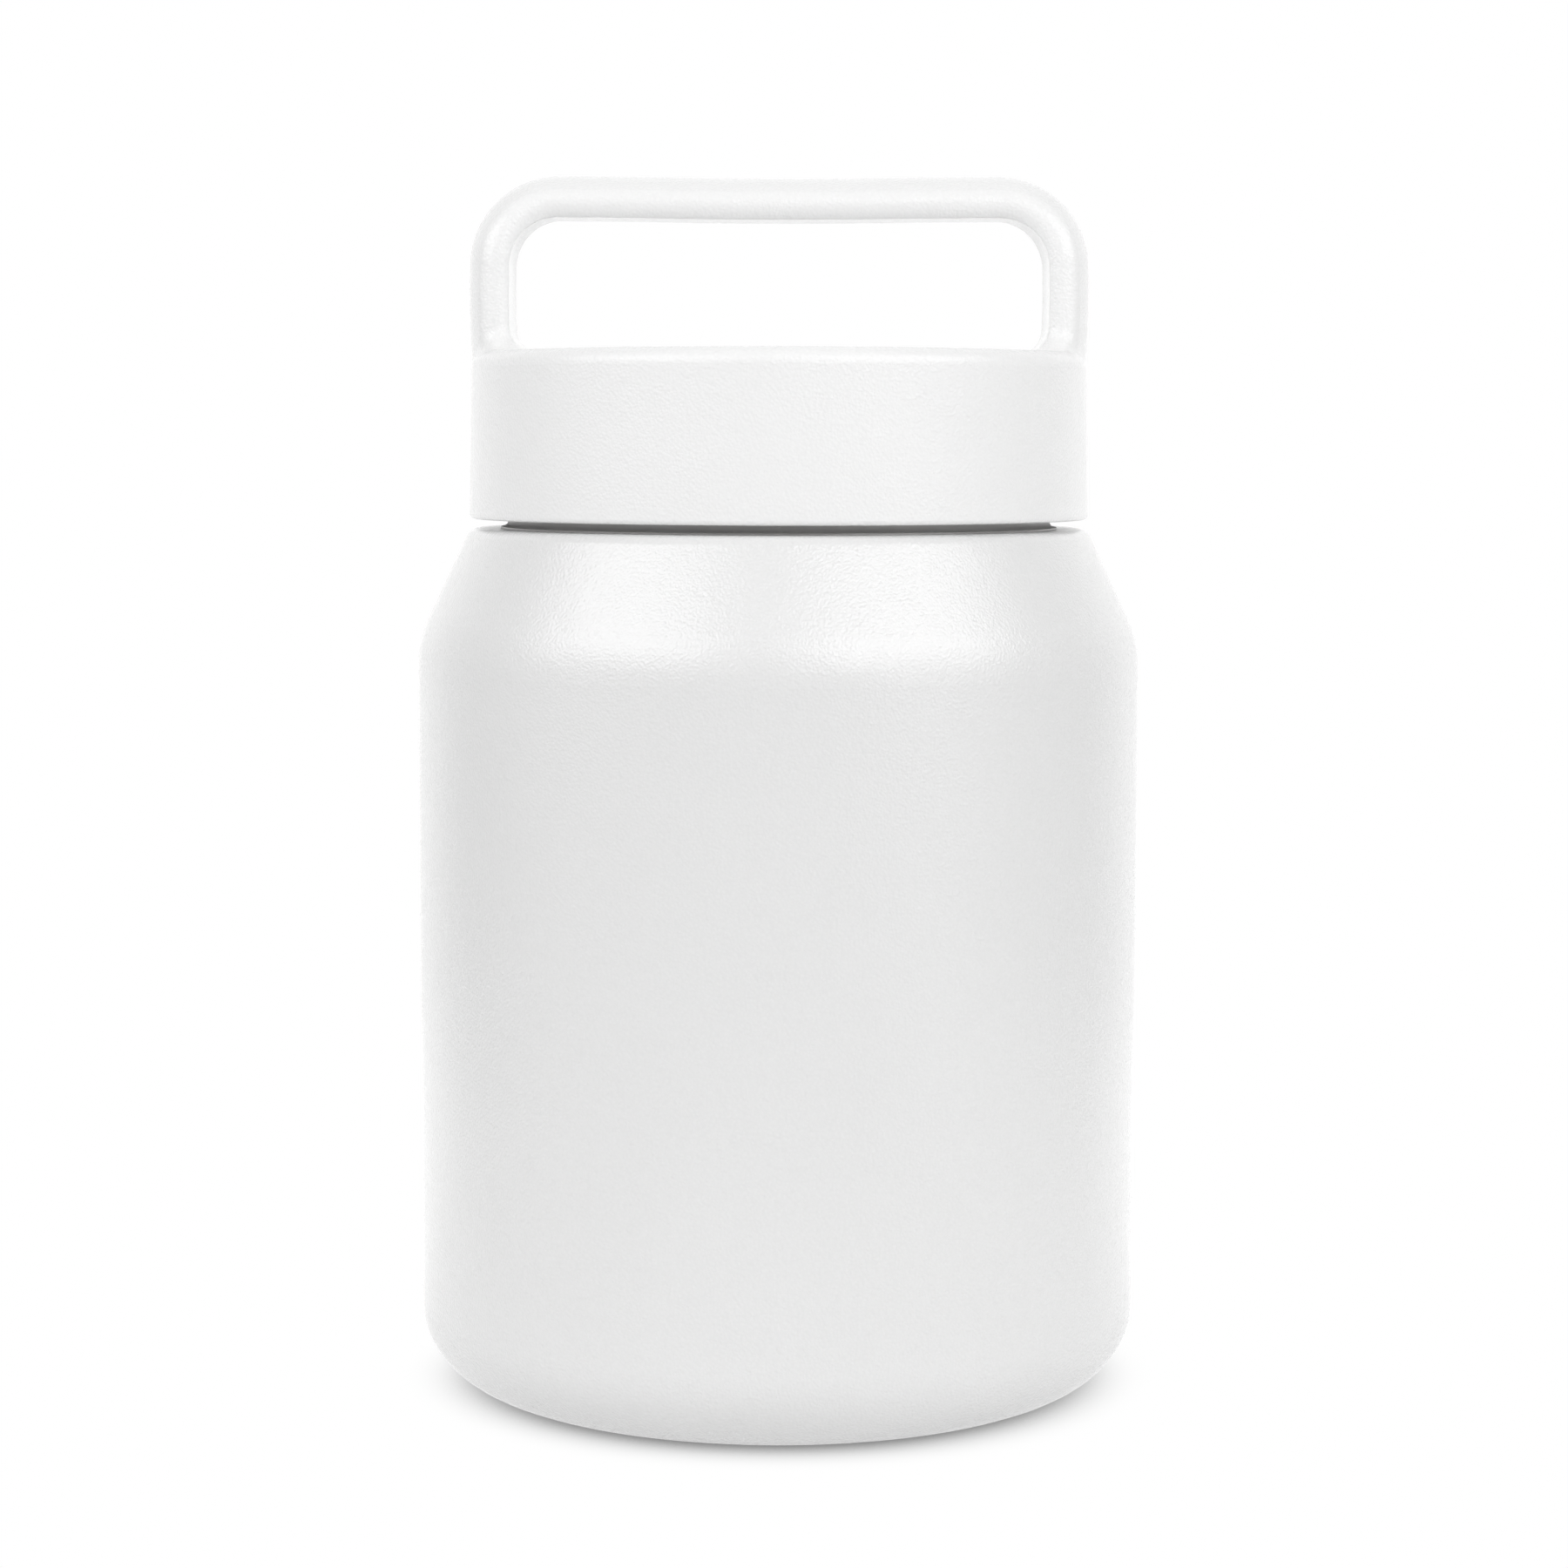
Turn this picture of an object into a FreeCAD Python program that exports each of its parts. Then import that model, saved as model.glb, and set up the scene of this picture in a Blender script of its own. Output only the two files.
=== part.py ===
import FreeCAD, Part
import math
import os
import Sketcher

# Wide-mouth insulated food jar, shut: a powder-coated steel vessel, the bare steel
# neck that stands on its shoulder, and a moulded screw lid whose carry handle is
# part of the lid.  Millimetres, +Z up, origin on the axis at the standing surface.
# The handle spans X; its flat grip faces down.

os.makedirs("parts", exist_ok=True)
doc = FreeCAD.newDocument("insulated_food_jar")

# ---------------------------------------------------------------- driving sizes
sizes = doc.addObject("Spreadsheet::Sheet", "sizes")
drivingSizes = [
    ("bodyDiameter", 100.0, "outside of the vessel's straight wall"),
    ("baseRound", 11.0, "corner between wall and foot ring"),
    ("footRingWidth", 3.6, "flat ring that the jar stands on"),
    ("recessDepth", 2.6, "base plate above the foot ring"),
    ("recessRound", 1.6, "inner corner of the base recess"),
    ("footRingRound", 0.8, "inner edge of the foot ring"),
    ("basePanelDiameter", 46.0, "pressed panel in the middle of the base plate"),
    ("basePanelDepth", 0.7, "that panel above the rest of the base plate"),
    ("basePanelRound", 0.5, "both edges of that panel's step"),
    ("shoulderRise", 15.6, "shoulder cone from the wall's end up to the ledge"),
    ("shoulderAngle", 25.0, "lean of the shoulder cone from the wall, degrees"),
    ("shoulderBlend", 15.0, "blend between wall and shoulder cone"),
    ("ledgeHeight", 119.0, "flat ledge on top of the shoulder"),
    ("ledgeRound", 2.0, "outer edge of the ledge"),
    ("neckHeight", 19.1, "ledge to the neck's lip"),
    ("neckFlare", 0.8, "hollow round at the foot of the neck"),
    ("neckFlareLand", 0.2, "narrow flat left round that flare"),
    ("lipRound", 1.2, "outer edge of the neck's lip"),
    ("lidGap", 1.3, "air between ledge and lid skirt"),
    ("lidOverhang", 0.07, "lid's foot beyond the ledge's corner"),
    ("lidDraft", 1.0, "moulding draft of the lid's side, degrees"),
    ("skirtWall", 4.4, "thickness of the skirt at its foot"),
    ("skirtClearance", 0.9, "between neck and the inside of the skirt"),
    ("ceilingThickness", 5.0, "lid above the neck's lip"),
    ("ceilingRound", 1.0, "corner between skirt and ceiling inside the lid"),
    ("rimRound", 2.2, "upper edge of the lid"),
    ("skirtRound", 0.6, "lower edges of the lid's skirt"),
    ("handleRise", 24.1, "lid top to the crest of the handle"),
    ("handleProud", 0.25, "legs beyond the lid's side"),
    ("handleCorner", 12.4, "outer radius of the handle's corners"),
    ("handleThickness", 5.85, "grip face to crest"),
    ("barDip", 0.28, "sag of the bar at its middle"),
    ("barGrip", 10.0, "width of the grip face along the bar"),
    ("legGrip", 14.0, "width of the grip face at the top of a leg"),
    ("footGrip", 15.4, "width of the grip face where a leg enters the lid"),
    ("bellyShare", 0.325, "widest line above the grip face, as a share of the thickness"),
    ("sideShare", 0.445, "radius of the section's sides, as a share of the thickness"),
    ("gripEdgeRound", 0.4, "both edges of the grip face"),
    ("footFillet", 3.5, "hollow round between legs and lid"),
    ("footDepth", 4.0, "how far the legs are sunk into the lid"),
    ("footLean", 0.5, "inward lean of a leg over its foot"),
]
for row, (alias, value, note) in enumerate(drivingSizes, start=1):
    sizes.set(f"A{row}", note)
    sizes.set(f"B{row}", str(value))
    sizes.setAlias(f"B{row}", alias)
doc.recompute()

# places that follow from the driving sizes, as expressions
bodyRadius = "sizes.bodyDiameter / 2"
shoulderStart = "(sizes.ledgeHeight - sizes.shoulderRise)"
ledgeRadius = f"({bodyRadius} - sizes.shoulderRise * tan(sizes.shoulderAngle))"
footOuter = f"({bodyRadius} - sizes.baseRound)"
footInner = f"({footOuter} - sizes.footRingWidth)"
panelRadius = "sizes.basePanelDiameter / 2"
panelHeight = "(sizes.recessDepth + sizes.basePanelDepth)"
lidRadius = f"({ledgeRadius} + sizes.lidOverhang)"
skirtBore = f"({lidRadius} - sizes.skirtWall)"
neckRadius = f"({skirtBore} - sizes.skirtClearance)"
lipHeight = "(sizes.ledgeHeight + sizes.neckHeight)"
skirtFoot = "(sizes.ledgeHeight + sizes.lidGap)"
lidTop = f"({lipHeight} + sizes.ceilingThickness)"
lidTopRadius = f"({lidRadius} - ({lidTop} - {skirtFoot}) * tan(sizes.lidDraft))"
legOuter = f"({lidTopRadius} + sizes.handleProud)"
cornerX = f"({legOuter} - sizes.handleCorner)"
cornerZ = f"({lidTop} + sizes.handleRise - sizes.handleCorner)"
gripRadius = "(sizes.handleCorner - sizes.handleThickness)"
bellyHeight = "(sizes.handleThickness * sizes.bellyShare)"
sideRound = "(sizes.handleThickness * sizes.sideShare)"


def measure(expression):
    # value of an expression on the sheet as a plain number
    value = sizes.evalExpression(expression)
    return float(getattr(value, "Value", value))


def newBody(name):
    body = doc.addObject("PartDesign::Body", name)
    body.Label = name
    return body


def originPlane(body, role):
    return next(plane for plane in body.Origin.OriginFeatures if plane.Role == role)


def newSketch(body, name, role):
    sketch = body.newObject("Sketcher::SketchObject", name)
    sketch.AttachmentSupport = (originPlane(body, role), [""])
    sketch.MapMode = "FlatFace"
    return sketch


def hold(sketch, kind, places, expression):
    # add one dimension to a sketch and tie it to the sheet
    index = sketch.addConstraint(Sketcher.Constraint(kind, *places, measure(expression)))
    sketch.setExpression(f"Constraints[{index}]", expression)


def drawOutline(sketch, corners):
    # closed outline of straight sides; each corner is (across, up) as expressions,
    # and None puts it on that axis
    spots = []
    for across, up in corners:
        x = measure(across) if across else 0.0
        y = measure(up) if up else 0.0
        spots.append(FreeCAD.Vector(x, y, 0))
    for number, start in enumerate(spots):
        finish = spots[(number + 1) % len(spots)]
        sketch.addGeometry(Part.LineSegment(start, finish))
    for number, (across, up) in enumerate(corners):
        previous = (number - 1) % len(corners)
        sketch.addConstraint(Sketcher.Constraint("Coincident", previous, 2, number, 1))
        if across:
            hold(sketch, "DistanceX", (-1, 1, number, 1), across)
        else:
            sketch.addConstraint(Sketcher.Constraint("PointOnObject", number, 1, -2))
        if up:
            hold(sketch, "DistanceY", (-1, 1, number, 1), up)
        else:
            sketch.addConstraint(Sketcher.Constraint("PointOnObject", number, 1, -1))


def revolve(body, name, corners):
    # solid turned about the jar's axis; its seam is at the back, clear of the legs
    sketch = newSketch(body, name + "Profile", "YZ_Plane")
    drawOutline(sketch, corners)
    turned = body.newObject("PartDesign::Revolution", name)
    turned.Profile = sketch
    turned.ReferenceAxis = (sketch, ["V_Axis"])
    turned.Angle = 360.0
    body.Tip = turned
    doc.recompute()
    return turned


def ringEdges(feature, radius, height):
    # names of the circular edges about the axis at this radius and height
    wantedRadius = measure(radius)
    wantedHeight = measure(height)
    names = []
    for number, edge in enumerate(feature.Shape.Edges, start=1):
        circle = edge.Curve
        if circle.TypeId != "Part::GeomCircle":
            continue
        sameRadius = abs(circle.Radius - wantedRadius) < 1e-4
        if sameRadius and abs(circle.Center.z - wantedHeight) < 1e-4:
            names.append(f"Edge{number}")
    return names


def roundEdges(body, name, feature, edges, size):
    if not edges:
        raise RuntimeError(f"{name}: no edge to round")
    fillet = body.newObject("PartDesign::Fillet", name)
    fillet.Base = (feature, edges)
    fillet.setExpression("Radius", f"sizes.{size}")
    body.Tip = fillet
    doc.recompute()
    return fillet


# ---------------------------------------------------------------------- vessel
def makeVessel():
    body = newBody("vessel")
    shape = revolve(body, "vesselWall", [
        (None, panelHeight),
        (panelRadius, panelHeight),
        (panelRadius, "sizes.recessDepth"),
        (footInner, "sizes.recessDepth"),
        (footInner, None),
        (bodyRadius, None),
        (bodyRadius, shoulderStart),
        (ledgeRadius, "sizes.ledgeHeight"),
        (None, "sizes.ledgeHeight"),
    ])
    rounds = [
        ("panelCorner", panelRadius, panelHeight, "basePanelRound"),
        ("panelEdge", panelRadius, "sizes.recessDepth", "basePanelRound"),
        ("recessCorner", footInner, "sizes.recessDepth", "recessRound"),
        ("footRingEdge", footInner, "0", "footRingRound"),
        ("baseCorner", bodyRadius, "0", "baseRound"),
        ("shoulderTurn", bodyRadius, shoulderStart, "shoulderBlend"),
        ("ledgeEdge", ledgeRadius, "sizes.ledgeHeight", "ledgeRound"),
    ]
    for name, radius, height, size in rounds:
        shape = roundEdges(body, name, shape, ringEdges(shape, radius, height), size)
    return body


# ------------------------------------------------------------------------ neck
def makeNeck():
    body = newBody("neck")
    flareRadius = f"({neckRadius} + sizes.neckFlare + sizes.neckFlareLand)"
    flareFoot = "(sizes.ledgeHeight + sizes.neckFlareLand)"
    shape = revolve(body, "neckWall", [
        (None, "sizes.ledgeHeight"),
        (flareRadius, "sizes.ledgeHeight"),
        (flareRadius, flareFoot),
        (neckRadius, flareFoot),
        (neckRadius, lipHeight),
        (None, lipHeight),
    ])
    rounds = [
        ("neckFlareHollow", neckRadius, flareFoot, "neckFlare"),
        ("neckLip", neckRadius, lipHeight, "lipRound"),
    ]
    for name, radius, height, size in rounds:
        shape = roundEdges(body, name, shape, ringEdges(shape, radius, height), size)
    return body


# ------------------------------------------------------------------------- lid
def makeCap(body):
    # the cap itself, before its handle: top, side with draft, bore over the neck
    shape = revolve(body, "capWall", [
        (None, lidTop),
        (lidTopRadius, lidTop),
        (lidRadius, skirtFoot),
        (skirtBore, skirtFoot),
        (skirtBore, lipHeight),
        (None, lipHeight),
    ])
    rounds = [
        ("rimEdge", lidTopRadius, lidTop, "rimRound"),
        ("skirtEdge", lidRadius, skirtFoot, "skirtRound"),
        ("boreEdge", skirtBore, skirtFoot, "skirtRound"),
        ("boreCorner", skirtBore, lipHeight, "ceilingRound"),
    ]
    for name, radius, height, size in rounds:
        shape = roundEdges(body, name, shape, ringEdges(shape, radius, height), size)
    return shape


def gripSection(body, name, centre, turn, width):
    # one section of the handle: a flat grip face, full sides and a crowned back.
    # Its plane is hinged at the centre of the handle's corner: turn is 0 across a
    # leg and 90 across the bar.
    sketch = newSketch(body, name, "XY_Plane")
    sketch.AttachmentOffset = FreeCAD.Placement(
        FreeCAD.Vector(0, 0, 0), FreeCAD.Rotation(FreeCAD.Vector(0, -1, 0), turn))
    sketch.setExpression("AttachmentOffset.Base.x", centre[0])
    sketch.setExpression("AttachmentOffset.Base.z", centre[1])

    # width runs to where the grip face and the sides would meet without their rounds
    sideReach = f"({width} / 2 - sqrt({sideRound} ^ 2 - {bellyHeight} ^ 2))"
    grip = measure(gripRadius)
    side = measure(sideRound)
    belly = measure(bellyHeight)
    edge = measure("sizes.gripEdgeRound")
    crest = measure("sizes.handleCorner")
    sideCentre = measure(sideReach)
    rise = crest - grip - belly
    crown = (rise ** 2 + sideCentre ** 2 - side ** 2) / (2 * (rise - side))
    crownCentre = crest - crown
    lean = math.atan2(sideCentre, grip + belly - crownCentre)
    tuck = math.asin((belly - edge) / (side - edge))
    edgeCentre = sideCentre + (side - edge) * math.cos(tuck)
    square = math.pi / 2
    up = FreeCAD.Vector(0, 0, 1)

    def arc(x, y, radius, start, finish):
        circle = Part.Circle(FreeCAD.Vector(x, y, 0), up, radius)
        return sketch.addGeometry(Part.ArcOfCircle(circle, start, finish))

    flat = sketch.addGeometry(Part.LineSegment(
        FreeCAD.Vector(grip, edgeCentre, 0), FreeCAD.Vector(grip, -edgeCentre, 0)))
    nearEdge = arc(grip + edge, -edgeCentre, edge, -2 * square, -square - tuck)
    near = arc(grip + belly, -sideCentre, side, -square - tuck, -lean)
    back = arc(crownCentre, 0, crown, -lean, lean)
    far = arc(grip + belly, sideCentre, side, lean, square + tuck)
    farEdge = arc(grip + edge, edgeCentre, edge, square + tuck, 2 * square)
    joints = [
        ("Tangent", flat, 2, nearEdge, 1),
        ("Tangent", nearEdge, 2, near, 1),
        ("Tangent", near, 2, back, 1),
        ("Tangent", back, 2, far, 1),
        ("Tangent", far, 2, farEdge, 1),
        ("Tangent", farEdge, 2, flat, 1),
        ("PointOnObject", back, 3, -1),
        ("Symmetric", flat, 1, flat, 2, -1),
        ("Equal", near, far),
        ("Equal", nearEdge, farEdge),
    ]
    for joint in joints:
        sketch.addConstraint(Sketcher.Constraint(*joint))
    hold(sketch, "DistanceX", (-1, 1, flat, 1), gripRadius)
    hold(sketch, "DistanceX", (-1, 1, near, 3), f"({gripRadius} + {bellyHeight})")
    hold(sketch, "DistanceY", (near, 3, -1, 1), sideReach)
    hold(sketch, "Radius", (near,), sideRound)
    hold(sketch, "Radius", (nearEdge,), "sizes.gripEdgeRound")
    crownPoint = sketch.addGeometry(Part.Point(FreeCAD.Vector(crest, 0, 0)), True)
    sketch.addConstraint(Sketcher.Constraint("PointOnObject", crownPoint, 1, -1))
    sketch.addConstraint(Sketcher.Constraint("PointOnObject", crownPoint, 1, back))
    hold(sketch, "DistanceX", (-1, 1, crownPoint, 1), "sizes.handleCorner")
    return sketch


def easedGrip(share):
    # grip width part of the way round a corner, level at both ends
    eased = share * share * (3 - 2 * share)
    return f"(sizes.legGrip + (sizes.barGrip - sizes.legGrip) * {eased})"


def makeHandle(body):
    # one half is modelled from the middle of the bar to the foot, then mirrored
    corner = (cornerX, cornerZ)
    middle = ("0", f"({cornerZ} - sizes.barDip)")
    ankle = (cornerX, f"({lidTop} + sizes.footDepth)")
    sunk = (f"({cornerX} - sizes.footLean)", f"({lidTop} - sizes.footDepth)")
    ankleGrip = "(sizes.legGrip + sizes.footGrip) / 2"

    # the bar dips in the middle: two equal arcs, level at both ends
    barPath = newSketch(body, "barPath", "XZ_Plane")
    reach = measure(cornerX)
    level = measure(f"({cornerZ} + {gripRadius})")
    dip = measure("sizes.barDip")
    bend = ((reach / 2) ** 2 + (dip / 2) ** 2) / dip
    sweep = math.asin(reach / 2 / bend)
    up = FreeCAD.Vector(0, 0, 1)
    upper = Part.Circle(FreeCAD.Vector(0, level - dip + bend, 0), up, bend)
    lower = Part.Circle(FreeCAD.Vector(reach, level - bend, 0), up, bend)
    inner = barPath.addGeometry(
        Part.ArcOfCircle(upper, -math.pi / 2, -math.pi / 2 + sweep))
    outer = barPath.addGeometry(
        Part.ArcOfCircle(lower, math.pi / 2, math.pi / 2 + sweep))
    barPath.addConstraint(Sketcher.Constraint("PointOnObject", inner, 1, -2))
    barPath.addConstraint(Sketcher.Constraint("PointOnObject", inner, 3, -2))
    barPath.addConstraint(Sketcher.Constraint("Tangent", inner, 2, outer, 2))
    barPath.addConstraint(Sketcher.Constraint("Equal", inner, outer))
    barPath.addConstraint(Sketcher.Constraint("Vertical", outer, 3, outer, 1))
    hold(barPath, "DistanceX", (-1, 1, outer, 1), cornerX)
    hold(barPath, "DistanceY", (-1, 1, outer, 1), f"({cornerZ} + {gripRadius})")
    hold(barPath, "DistanceY", (inner, 1, outer, 1), "sizes.barDip")

    bar = body.newObject("PartDesign::AdditivePipe", "bar")
    bar.Profile = gripSection(body, "barSection", middle, 90, "sizes.barGrip")
    bar.Spine = (barPath, ["Edge1", "Edge2"])
    body.Tip = bar
    doc.recompute()

    # the corner turns the bar into a leg and widens the grip on the way
    cornerPath = newSketch(body, "cornerPath", "XZ_Plane")
    turnCircle = Part.Circle(
        FreeCAD.Vector(reach, measure(cornerZ), 0), up, measure(gripRadius))
    turn = cornerPath.addGeometry(Part.ArcOfCircle(turnCircle, 0, math.pi / 2))
    cornerPath.addConstraint(Sketcher.Constraint("Horizontal", turn, 3, turn, 1))
    cornerPath.addConstraint(Sketcher.Constraint("Vertical", turn, 3, turn, 2))
    hold(cornerPath, "DistanceX", (-1, 1, turn, 3), cornerX)
    hold(cornerPath, "DistanceY", (-1, 1, turn, 3), cornerZ)
    hold(cornerPath, "Radius", (turn,), gripRadius)
    cornerSteps = 4
    sections = []
    for step in range(cornerSteps + 1):
        share = step / cornerSteps
        sections.append(gripSection(
            body, f"cornerSection{step}", corner, 90 * share, easedGrip(share)))
    turned = body.newObject("PartDesign::AdditivePipe", "corner")
    turned.Profile = sections[0]
    turned.Sections = sections[1:]
    turned.Spine = (cornerPath, ["Edge1"])
    turned.Transformation = "Multisection"
    body.Tip = turned
    doc.recompute()

    # the leg widens towards the lid and leans in over its foot
    leg = body.newObject("PartDesign::AdditiveLoft", "leg")
    leg.Profile = gripSection(body, "legTop", corner, 0, "sizes.legGrip")
    leg.Sections = [
        gripSection(body, "legAnkle", ankle, 0, ankleGrip),
        gripSection(body, "legFoot", sunk, 0, "sizes.footGrip"),
    ]
    body.Tip = leg
    doc.recompute()

    pair = body.newObject("PartDesign::Mirrored", "otherHalf")
    pair.Originals = [bar, turned, leg]
    pair.MirrorPlane = (originPlane(body, "YZ_Plane"), [""])
    body.Tip = pair
    doc.recompute()
    return pair


def footEdges(feature):
    # edges on the lid's flat top where the legs come out of it
    top = measure(lidTop)
    flatRadius = measure(f"({lidTopRadius} - sizes.rimRound)")
    names = []
    for number, edge in enumerate(feature.Shape.Edges, start=1):
        box = edge.BoundBox
        level = box.ZMin > top - 1e-3 and box.ZMax < top + 1e-3
        rim = edge.Curve.TypeId == "Part::GeomCircle" and edge.Curve.Radius > flatRadius - 0.5
        if level and not rim:
            names.append(f"Edge{number}")
    return names


def makeLid():
    body = newBody("lid")
    makeCap(body)
    handled = makeHandle(body)
    roundEdges(body, "legFillet", handled, footEdges(handled), "footFillet")
    return body


# ---------------------------------------------------------------- build, check
pieces = [makeVessel(), makeNeck(), makeLid()]
doc.recompute()

for item in doc.Objects:
    if "Invalid" in item.State or "Error" in item.State:
        raise RuntimeError(f"{item.Name} failed: {item.State}")
for piece in pieces:
    if piece.Shape.isNull() or not piece.Shape.isValid():
        raise RuntimeError(f"{piece.Label}: bad shape")
    if len(piece.Shape.Solids) != 1:
        raise RuntimeError(f"{piece.Label}: {len(piece.Shape.Solids)} solids")

for piece in pieces:
    piece.Shape.exportStep(f"parts/{piece.Label}.step")
    print(piece.Label, round(piece.Shape.Volume, 1), "mm3", piece.Shape.BoundBox)
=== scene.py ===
import bmesh
import bpy
import math
from mathutils import Matrix, Vector


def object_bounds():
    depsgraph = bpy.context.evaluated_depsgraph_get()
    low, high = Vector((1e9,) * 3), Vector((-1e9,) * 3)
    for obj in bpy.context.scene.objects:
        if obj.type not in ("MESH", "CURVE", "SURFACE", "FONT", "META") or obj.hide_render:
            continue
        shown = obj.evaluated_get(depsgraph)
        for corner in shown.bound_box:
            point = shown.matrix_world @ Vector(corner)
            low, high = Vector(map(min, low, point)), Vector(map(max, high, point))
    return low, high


# A shut food jar: powder-coated vessel, bare steel neck, moulded lid with its handle.
# The three CAD pieces keep their shapes and get their finishes here.

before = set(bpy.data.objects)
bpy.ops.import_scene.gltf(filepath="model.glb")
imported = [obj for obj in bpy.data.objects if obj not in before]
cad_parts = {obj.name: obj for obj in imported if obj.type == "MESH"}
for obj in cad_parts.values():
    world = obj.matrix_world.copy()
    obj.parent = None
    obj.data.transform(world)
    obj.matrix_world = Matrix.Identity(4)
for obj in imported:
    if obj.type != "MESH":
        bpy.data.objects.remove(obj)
cadLow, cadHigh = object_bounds()
print("frame loaded:", ", ".join(sorted(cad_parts)))


class Wire:
    # a socket that Python arithmetic can be written on
    def __init__(self, shading, socket):
        self.shading = shading
        self.socket = socket

    def maths(self, operation, *terms):
        return self.shading.node("ShaderNodeMath", {"operation": operation},
                                 dict(enumerate(terms)))

    def __add__(self, other):
        return self.maths("ADD", self, other)

    def __radd__(self, other):
        return self.maths("ADD", other, self)

    def __sub__(self, other):
        return self.maths("SUBTRACT", self, other)

    def __rsub__(self, other):
        return self.maths("SUBTRACT", other, self)

    def __mul__(self, other):
        return self.maths("MULTIPLY", self, other)

    def __rmul__(self, other):
        return self.maths("MULTIPLY", other, self)

    def __pow__(self, other):
        return self.maths("POWER", self, other)

    def __rpow__(self, other):
        return self.maths("POWER", other, self)


class Shading:
    # the node tree of a material or of the world, empty at first
    def __init__(self, owner):
        owner.use_nodes = True
        self.tree = owner.node_tree
        self.tree.nodes.clear()

    def node(self, kind, settings=None, sockets=None, out=0):
        # settings come first, because they decide which sockets there are
        made = self.tree.nodes.new(kind)
        for name, value in (settings or {}).items():
            setattr(made, name, value)
        for place, value in (sockets or {}).items():
            if isinstance(value, Wire):
                self.tree.links.new(value.socket, made.inputs[place])
            else:
                made.inputs[place].default_value = value
        return Wire(self, made.outputs[out]) if made.outputs else None

    def objectPlace(self):
        return self.node("ShaderNodeTexCoord", out="Object")

    def noise(self, size, detail=2.0, stretch=(1, 1, 1)):
        # lumps about size metres across
        place = self.node("ShaderNodeMapping", sockets={
            "Vector": self.objectPlace(), "Scale": stretch})
        return self.node("ShaderNodeTexNoise", sockets={
            "Vector": place, "Scale": 1 / size, "Detail": detail})

    def pebbles(self, size, smoothness=0.6):
        # rounded cells about size metres across, 0 at their middles
        return self.node("ShaderNodeTexVoronoi", {"feature": "SMOOTH_F1"}, {
            "Vector": self.objectPlace(), "Scale": 1 / size,
            "Smoothness": smoothness})

    def blend(self, share, first, second):
        # colour that goes from first to second as share goes from 0 to 1;
        # a colour Mix has its colours in sockets 6 and 7, and gives output 2
        return self.node("ShaderNodeMix", {"data_type": "RGBA"},
                         {"Factor": share, 6: first, 7: second}, out=2)

    def vary(self, middle, swing, pattern):
        # pattern's 0 to 1 goes from half a swing below middle to half above it
        return middle + swing * (pattern - 0.5)

    def bump(self, height, depth, under=None):
        # height from 0 to 1 stands for depth metres; under is a bump to lie on
        sockets = {"Height": height, "Distance": depth}
        if under:
            sockets["Normal"] = under
        return self.node("ShaderNodeBump", sockets=sockets)

    def surface(self, **sockets):
        # the finish itself; an underscore in a socket's name stands for a space
        return self.node("ShaderNodeBsdfPrincipled", sockets={
            name.replace("_", " "): value for name, value in sockets.items()})

    def output(self, kind, shader):
        self.node(kind, sockets={"Surface": shader})


def newFinish(name):
    material = bpy.data.materials.new(name)
    return material, Shading(material)


def dress(name, material):
    # the node keeps its mesh; only what is in its slots changes
    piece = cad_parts[name]
    for slot in piece.material_slots:
        slot.material = material


vesselLook = {
    "crest": (0.81, 0.81, 0.81, 1),
    "shadeAndCloud": (0.76, 0.76, 0.76, 1),  # painted shade between the pebbles, and real tone in slow clouds
    "cloud": 0.03,  # metres across
    "cloudShare": 0.5,  # how much of the darker colour the clouds bring
    "pebbleShadeShare": 0.6,  # and how much painted shade the gaps between the pebbles bring
    "roughness": 0.15,
    "uneven": 0.05,  # how far the roughness goes from pebble to pebble
    "gloss": 0.8,
    "pebble": 0.0004,  # metres across
    "fine": 0.7,  # size of the finer lumps, in pebbles
    "relief": 0.6,  # how much of pebbleDepth pebbles and lumps each take up
    "pebbleDepth": 0.000085,
    "peel": 0.0022,  # slow waves under the pebbles
    "peelDepth": 0.000015,
}


def powderCoat(look):
    # satin powder coat: fine pebbles on slow waves
    material, coat = newFinish("powderCoat")
    pebble = coat.pebbles(look["pebble"])
    fine = coat.noise(look["pebble"] * look["fine"])
    wave = coat.noise(look["peel"], detail=1.0)
    cloud = coat.noise(look["cloud"], detail=3.0)
    peel = coat.bump(wave, look["peelDepth"])
    grain = coat.bump((pebble + fine) * look["relief"], look["pebbleDepth"], under=peel)
    # painted shade: darker between the pebbles, with slow clouds of the coat's own tone
    share = cloud * look["cloudShare"] + pebble * look["pebbleShadeShare"]
    coat.output("ShaderNodeOutputMaterial", coat.surface(
        Base_Color=coat.blend(share, look["crest"], look["shadeAndCloud"]),
        Roughness=coat.vary(look["roughness"], look["uneven"], fine),
        Specular_IOR_Level=look["gloss"], Normal=grain))
    return material


dress("vessel", powderCoat(vesselLook))
print("vessel finished")


neckLook = {
    "steel": (0.88, 0.87, 0.86, 1),
    "shade": (0.80, 0.79, 0.78, 1),  # painted shade between the turned rings
    "metal": 0.3,  # a blasted face scatters light, and looks less like a mirror
    "roughness": 0.45,
    "smear": 0.006,  # metres across
    "uneven": 0.10,  # how far the roughness goes from smear to smear
    "groove": 0.00012,  # metres from one turned ring to the next
    "along": (0.01, 0.01, 1),  # the pattern hardly changes along a ring
    "grooveDepth": 0.000006,
}


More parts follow.
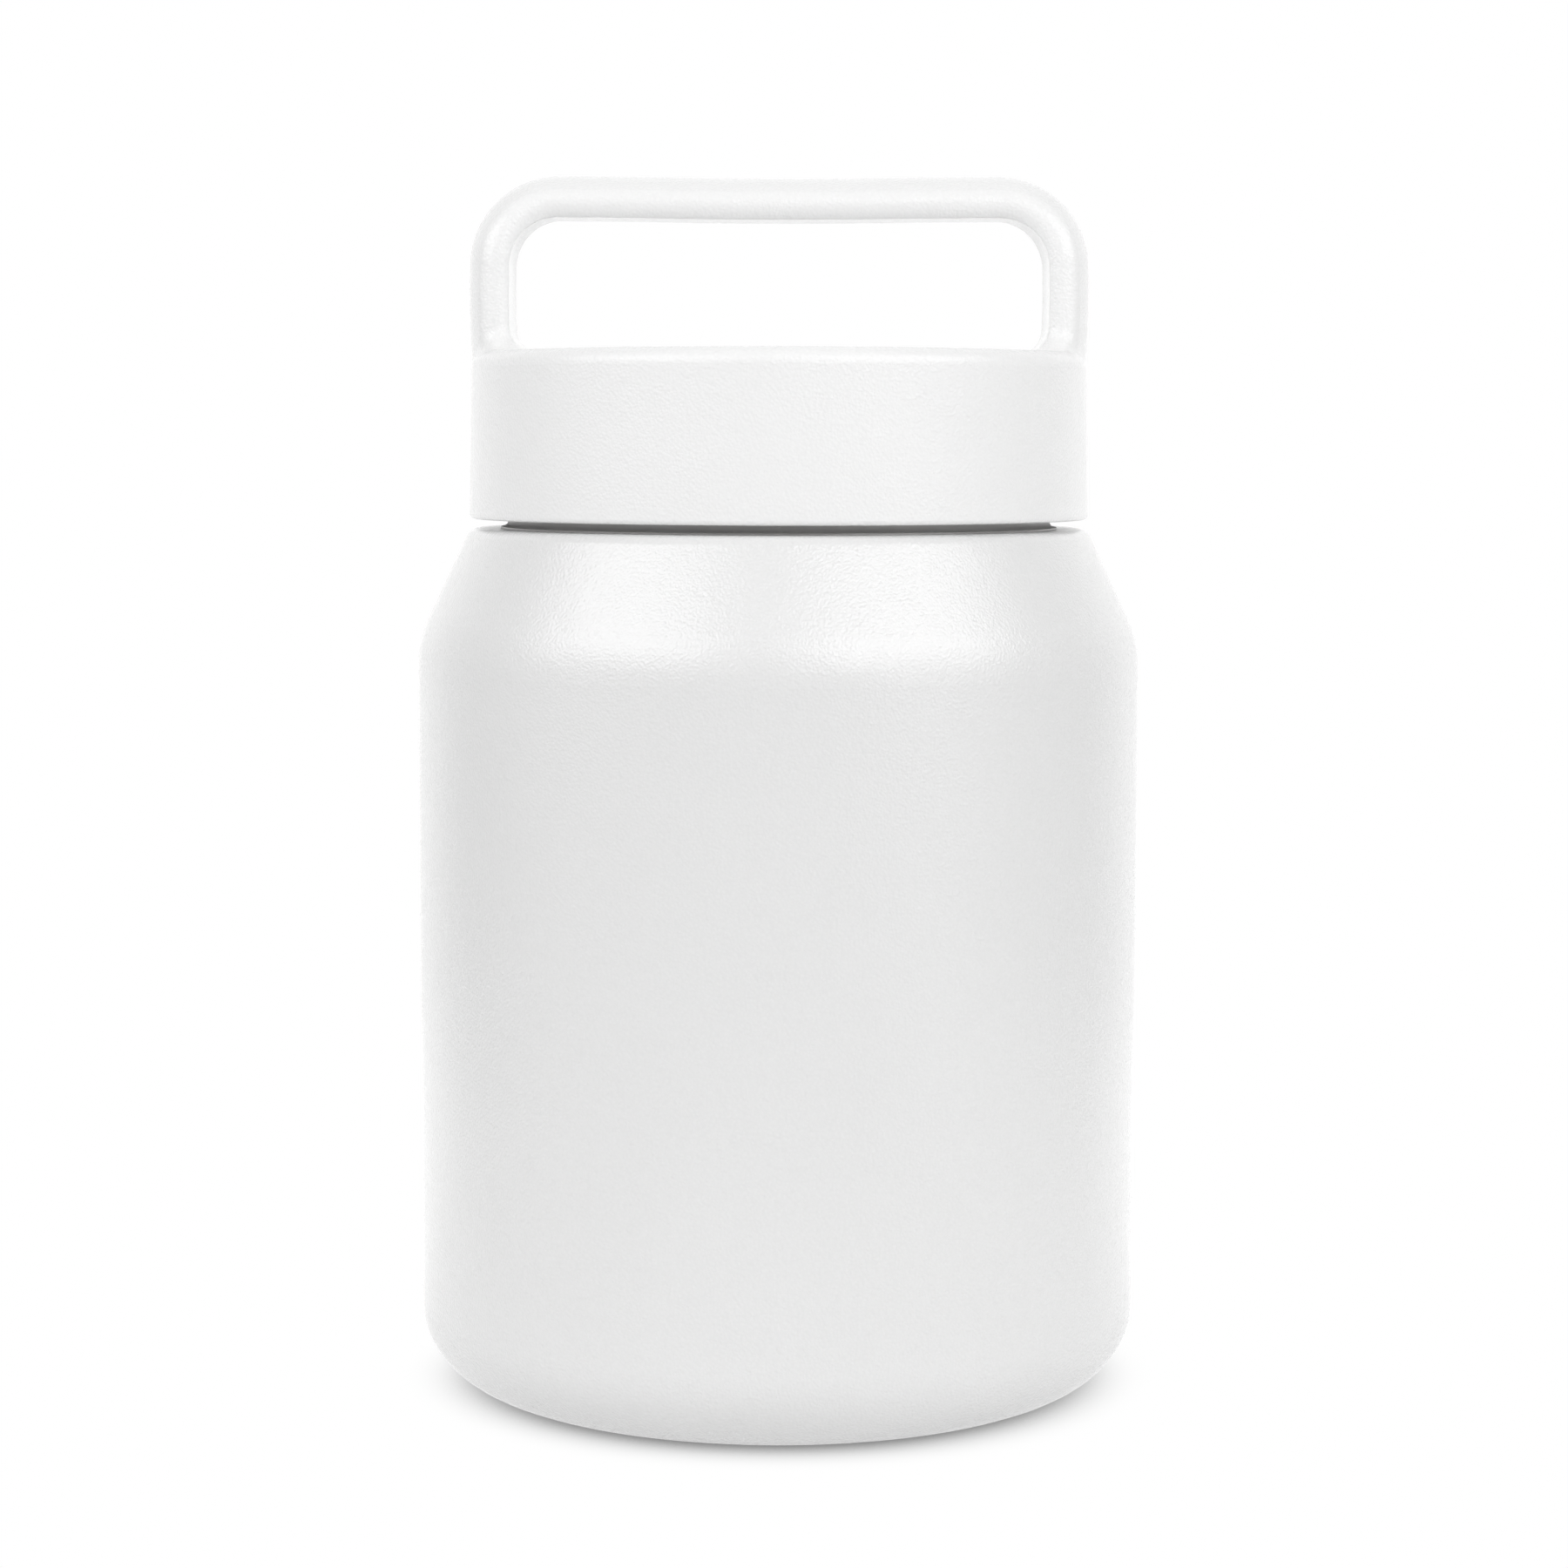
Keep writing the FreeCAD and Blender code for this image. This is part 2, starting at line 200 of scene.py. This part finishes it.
def satinSteel(look):
    # bare stainless steel, blasted satin, with the fine rings that turning leaves
    material, steel = newFinish("satinSteel")
    rings = steel.noise(look["groove"], stretch=look["along"])
    smear = steel.noise(look["smear"], detail=3.0)
    steel.output("ShaderNodeOutputMaterial", steel.surface(
        # painted shade between the rings, on top of their bump
        Base_Color=steel.blend(rings, look["steel"], look["shade"]),
        Metallic=look["metal"],
        Roughness=steel.vary(look["roughness"], look["uneven"], smear),
        Normal=steel.bump(rings, look["grooveDepth"])))
    return material


dress("neck", satinSteel(neckLook))
print("neck finished")


lidLook = {
    "crest": (0.89, 0.89, 0.89, 1),
    # the darker colour: painted shade between the grain cells, and real tone in slow
    # clouds
    "shadeAndCloud": (0.84, 0.84, 0.84, 1),
    "cloud": 0.025,  # metres across
    "cloudShare": 0.5,
    # how much painted shade the gaps between the grain cells bring
    "cellShadeShare": 0.6,
    "roughness": 0.23,
    "uneven": 0.06,
    "grain": 0.0004,  # metres across
    "fine": 0.5,  # size of the finer lumps, in cells of the grain
    "cellRelief": 0.7,  # how much of grainDepth the cells take up
    "fineRelief": 0.4,  # and how much the finer lumps do
    "grainDepth": 0.00008,
}


def mouldedPlastic(look):
    # matt white plastic with the soft leather grain of its mould
    material, plastic = newFinish("mouldedPlastic")
    cell = plastic.pebbles(look["grain"])
    fine = plastic.noise(look["grain"] * look["fine"])
    cloud = plastic.noise(look["cloud"])
    # painted shade: darker between the grain cells, with slow clouds of the plastic's own
    # tone
    share = cloud * look["cloudShare"] + cell * look["cellShadeShare"]
    height = cell * look["cellRelief"] + fine * look["fineRelief"]
    plastic.output("ShaderNodeOutputMaterial", plastic.surface(
        Base_Color=plastic.blend(share, look["crest"], look["shadeAndCloud"]),
        Roughness=plastic.vary(look["roughness"], look["uneven"], fine),
        Normal=plastic.bump(height, look["grainDepth"])))
    return material


dress("lid", mouldedPlastic(lidLook))
print("lid finished")


floorLook = {
    "radius": 0.32,
    "segments": 96,
    "below": 0.00005,  # metres under the foot, so that the two faces don't meet
    "white": (0.84, 0.84, 0.84, 1),
    "roughness": 0.9,
    "reach": 0.009,  # metres that the painted soft shadow round the foot reaches
    "rays": 16,  # that look for the foot from each point
    "open": 0.9,  # share of them that get away where the floor is pure white
    "shadow": 0.79,  # how dark it is at the foot
    "fade": 3.3,  # how fast it goes: 1 is evenly, more is sooner
    "glow": 0.4,  # painted light: how much brighter than white the floor behind the jar shines to glossy rays
    "glowFrom": (-0.05, 0.03),  # metres behind the jar where it begins and is full
    "glowSpread": 0.4,  # how much it narrows to the sides
}


def paintFloor(look):
    # plain white where it is seen, with a painted soft shadow round the foot
    # and painted light behind the jar for glossy rays; to all other light it is pale paint
    material, paint = newFinish("floorPaint")
    camera = paint.node("ShaderNodeLightPath", out="Is Camera Ray")
    glossy = paint.node("ShaderNodeLightPath", out="Is Glossy Ray")
    clear = paint.node("ShaderNodeAmbientOcclusion", {"samples": look["rays"]},
                       {"Distance": look["reach"]}, out="AO")
    close = paint.node("ShaderNodeMapRange", sockets={
        "Value": clear, "From Max": look["open"], "To Min": 1, "To Max": 0})
    # painted shadow: the seen white darkens towards the foot as ambient occlusion closes
    # in
    white = 1 - look["shadow"] * close ** look["fade"]
    away = paint.node("ShaderNodeVectorMath", {"operation": "LENGTH"},
                      {0: paint.objectPlace()}, out="Value")
    back = paint.node("ShaderNodeSeparateXYZ",
                      sockets={0: paint.objectPlace()}, out="Y")
    start, full = look["glowFrom"]
    # painted light: a brighter patch behind the jar, seen only by glossy rays
    behind = paint.node("ShaderNodeMapRange", sockets={
        "Value": back - away * look["glowSpread"], "From Min": start,
        "From Max": full, "To Max": look["glow"]})
    seen = paint.node("ShaderNodeEmission", sockets={
        "Color": (1 - glossy) * white + glossy * (1 + behind)})
    flat = paint.surface(Base_Color=look["white"], Roughness=look["roughness"])
    mixed = paint.node("ShaderNodeMixShader", sockets={
        0: camera.maths("MAXIMUM", camera, glossy), 1: flat, 2: seen})
    paint.output("ShaderNodeOutputMaterial", mixed)
    return material


def layFloor(look):
    mesh = bpy.data.meshes.new("floor")
    shape = bmesh.new()
    bmesh.ops.create_circle(shape, segments=look["segments"],
                            radius=look["radius"], cap_ends=True)
    height = cadLow.z - look["below"]
    bmesh.ops.translate(shape, verts=shape.verts, vec=(0, 0, height))
    shape.to_mesh(mesh)
    shape.free()
    mesh.materials.append(paintFloor(look))
    floor = bpy.data.objects.new("floor", mesh)
    bpy.context.scene.collection.objects.link(floor)


layFloor(floorLook)
print("floor laid")


skyLook = {
    "fill": 0.48,  # even light from all round
    "front": 0.3,  # what a glossy surface reflects of the room, where 1 is white
    "behind": 1.25,  # the same for the backdrop behind the jar
    "backdrop": (0.36, 0.8),  # where the backdrop begins and is full, by direction
}


def makeSky(look):
    world = bpy.data.worlds.new("studioSky")
    bpy.context.scene.world = world
    # the camera sees white, gloss sees the room and the backdrop, the rest is fill
    sky = Shading(world)
    camera = sky.node("ShaderNodeLightPath", out="Is Camera Ray")
    glossy = sky.node("ShaderNodeLightPath", out="Is Glossy Ray")
    aim = sky.node("ShaderNodeTexCoord", out="Generated")
    back = sky.node("ShaderNodeSeparateXYZ", sockets={0: aim}, out="Y")
    start, full = look["backdrop"]
    shine = sky.node("ShaderNodeMapRange", sockets={
        "Value": back, "From Min": start, "From Max": full,
        "To Min": look["front"], "To Max": look["behind"]})
    fill = sky.node("ShaderNodeBackground", sockets={"Color": (1, 1, 1, 1),
                                                     "Strength": look["fill"]})
    seen = sky.node("ShaderNodeBackground", sockets={
        "Color": camera + glossy * shine})
    mixed = sky.node("ShaderNodeMixShader", sockets={
        0: camera.maths("MAXIMUM", camera, glossy), 1: fill, 2: seen})
    sky.output("ShaderNodeOutputWorld", mixed)


makeSky(skyLook)
print("sky made")


# azimuth is 0 at the front and grows to the right; radiance 1 is a white surface's
boxLook = {
    "distance": 0.75,
    "aim": 0.085,  # metres above the floor, where all of them point
    "leftHigh": {"azimuth": -54, "elevation": 34,
                 "size": (0.75, 0.40), "radiance": 2.4},
    "rightHigh": {"azimuth": 44, "elevation": 34,
                  "size": (0.85, 0.40), "radiance": 2.45},
    "leftLow": {"azimuth": -65, "elevation": 8,
                "size": (0.50, 0.28), "radiance": 0.40},
    "rightLow": {"azimuth": 48, "elevation": 8,
                 "size": (0.50, 0.28), "radiance": 0.87},
    "back": {"azimuth": 180, "elevation": 12,
             "size": (0.45, 0.40), "radiance": 3.2},
}


def hangSoftBox(name, look):
    box = look[name]
    turn = math.radians(box["azimuth"])
    rise = math.radians(box["elevation"])
    width, height = box["size"]
    away = Vector((math.sin(turn) * math.cos(rise),
                   -math.cos(turn) * math.cos(rise), math.sin(rise)))
    lamp = bpy.data.lights.new(name, "AREA")
    lamp.shape = "RECTANGLE"
    lamp.size = width
    lamp.size_y = height
    lamp.energy = box["radiance"] * width * height * math.pi
    holder = bpy.data.objects.new(name, lamp)
    place = away * look["distance"] + Vector((0, 0, look["aim"]))
    holder.matrix_world = (Matrix.Translation(place)
                           @ away.to_track_quat("Z", "Y").to_matrix().to_4x4())
    bpy.context.scene.collection.objects.link(holder)
    return holder


for name in ("leftHigh", "rightHigh", "leftLow", "rightLow"):
    hangSoftBox(name, boxLook)
backBox = hangSoftBox("back", boxLook)
backBox.visible_glossy = False  # it lights the back, with no glare on the sides
print("soft boxes hung")


cameraLook = {
    "lens": 83.42,
    "sensor": 36.0,
    "place": (0.0008, -0.5062, 0.13184),
    "pitch": 5.49,  # degrees below level
    "roll": 0.12,
    "nearest": 0.01,
}


def placeCamera(look):
    lens = bpy.data.cameras.new("camera")
    lens.lens = look["lens"]
    lens.sensor_width = look["sensor"]
    lens.clip_start = look["nearest"]
    camera = bpy.data.objects.new("camera", lens)
    camera.matrix_world = (Matrix.Translation(look["place"])
                           @ Matrix.Rotation(math.radians(90 - look["pitch"]), 4, "X")
                           @ Matrix.Rotation(math.radians(look["roll"]), 4, "Z"))
    bpy.context.scene.collection.objects.link(camera)
    bpy.context.scene.camera = camera


placeCamera(cameraLook)
bpy.context.scene.view_settings.view_transform = "Standard"
print("camera placed")
